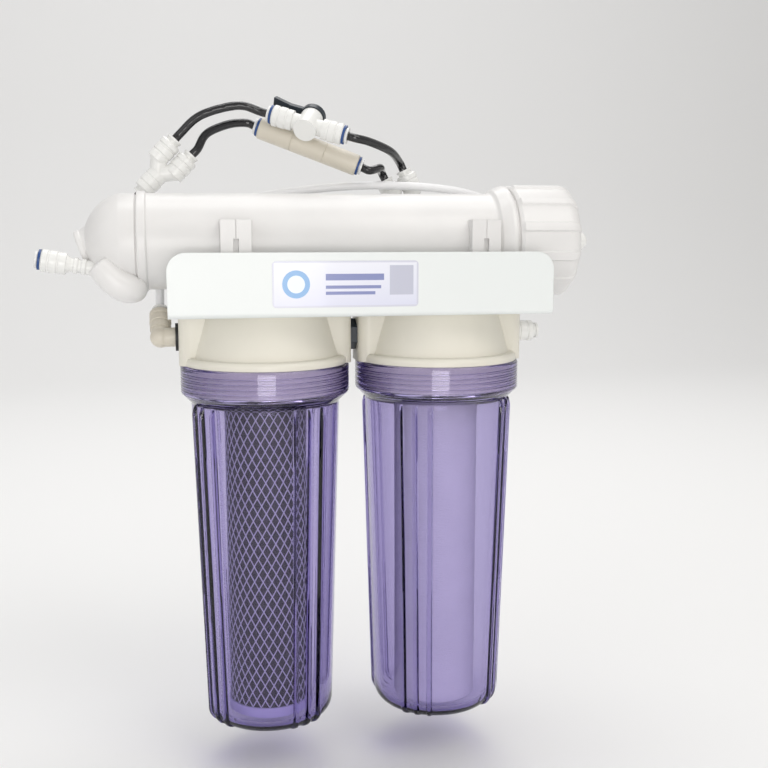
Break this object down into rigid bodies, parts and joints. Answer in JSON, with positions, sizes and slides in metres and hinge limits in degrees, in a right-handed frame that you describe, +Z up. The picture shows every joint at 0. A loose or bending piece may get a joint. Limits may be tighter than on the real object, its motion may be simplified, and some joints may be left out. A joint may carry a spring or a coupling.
{
  "type": "reverse osmosis unit",
  "caption": "Wall-hung reverse osmosis unit: clear canisters under a folded bracket, a membrane housing clipped on top, and a flush valve and restrictor on black tube.",
  "frame": {"origin": "midway between the two wall-screw holes, in the thickness of the rear flange", "axes": "+X to the right seen from the front, +Y towards the wall, +Z up"},
  "size_m": [0.3833, 0.1242, 0.448],
  "materials": {
    "powder_coat": "smooth white powder coat",
    "label_film": "printed vinyl film",
    "zinc_screw": "zinc plated",
    "white_plastic": "moulded white polypropylene",
    "ivory_plastic": "moulded ivory polypropylene",
    "tinted_clear": "clear violet moulding",
    "black_rubber": "moulded rubber",
    "carbon": "pressed carbon",
    "netting": "plastic net",
    "lilac_plastic": "moulded end cap",
    "spun_fibre": "melt-blown fibre",
    "dark_plastic": "satin",
    "fitting_white": "moulded acetal",
    "fitting_cream": "moulded cream acetal",
    "white_tube": "polyethylene tube",
    "black_tube": "polyethylene tube",
    "membrane_film": "wound membrane in tape",
    "ball_metal": "turned ball",
    "blue_clip": "moulded clip"
  },
  "bodies": {
    "frame": {"bracket": "powder_coat", "label": "label_film", "cap_screws": "zinc_screw", "clip_left": "white_plastic", "clip_right": "white_plastic", "clip_screws": "zinc_screw", "left_head": "ivory_plastic", "right_head": "ivory_plastic", "head_nipple": "dark_plastic", "inlet_fitting": "fitting_white", "feed_elbow": "fitting_cream", "feed_elbow_gasket": "black_rubber", "feed_tube": "white_tube", "membrane_shell": "white_plastic", "membrane_cap": "white_plastic", "membrane_cap_seal": "black_rubber", "membrane_element": "membrane_film", "brine_seal": "black_rubber", "element_seals": "black_rubber", "cap_elbow": "fitting_white", "permeate_fitting": "fitting_white", "reject_elbow": "fitting_white", "reject_tube": "black_tube", "splitter": "fitting_white", "flush_tube_in": "black_tube", "restrictor_tube_in": "black_tube", "valve_body": "fitting_white", "restrictor_body": "fitting_cream", "flush_tube_out": "black_tube", "restrictor_tube_out": "black_tube", "waste_joiner": "fitting_white", "fixed_collets": "fitting_white", "locking_clips": "blue_clip", "tube_seals": "black_rubber"},
    "left_filter": {"carbon_block": "carbon", "carbon_netting": "netting", "carbon_end_caps": "lilac_plastic", "carbon_gaskets": "lilac_plastic"},
    "left_bowl_body": {"left_bowl": "tinted_clear", "left_bowl_seal": "black_rubber"},
    "right_filter": {"sediment_cartridge": "spun_fibre"},
    "right_bowl_body": {"right_bowl": "tinted_clear", "right_bowl_seal": "black_rubber"},
    "valve_handle": {"valve_ball": "ball_metal", "valve_lever": "dark_plastic"},
    "inlet_release": {"inlet_collet": "fitting_white"}
  },
  "joints": [
    {"name": "left_bowl_drop", "type": "slide", "parent": "frame", "child": "left_filter", "axis": [0, 0, -1], "range_m": [0, 0.016]},
    {"name": "left_bowl_turn", "type": "hinge", "parent": "left_filter", "child": "left_bowl_body", "pos_m": [-0.062, -0.062, -0.174], "axis": [0, 0, -1], "range_deg": [0, 1080]},
    {"name": "right_bowl_drop", "type": "slide", "parent": "frame", "child": "right_filter", "axis": [0, 0, -1], "range_m": [0, 0.016]},
    {"name": "right_bowl_turn", "type": "hinge", "parent": "right_filter", "child": "right_bowl_body", "pos_m": [0.062, -0.062, -0.174], "axis": [0, 0, -1], "range_deg": [0, 1080]},
    {"name": "flush_lever", "type": "hinge", "parent": "frame", "child": "valve_handle", "pos_m": [-0.028, -0.046, 0.1055], "axis": [0.3909, 0.7517, 0.5312], "range_deg": [0, 90]},
    {"name": "inlet_release_press", "type": "slide", "parent": "frame", "child": "inlet_release", "axis": [-1, 0, 0], "range_m": [0, 0.0012]}
  ],
  "couplings": [
    {"joint": "left_bowl_drop", "follows": "left_bowl_turn", "m_per_rad": 0.00079577},
    {"joint": "right_bowl_drop", "follows": "right_bowl_turn", "m_per_rad": 0.00079577}
  ]
}
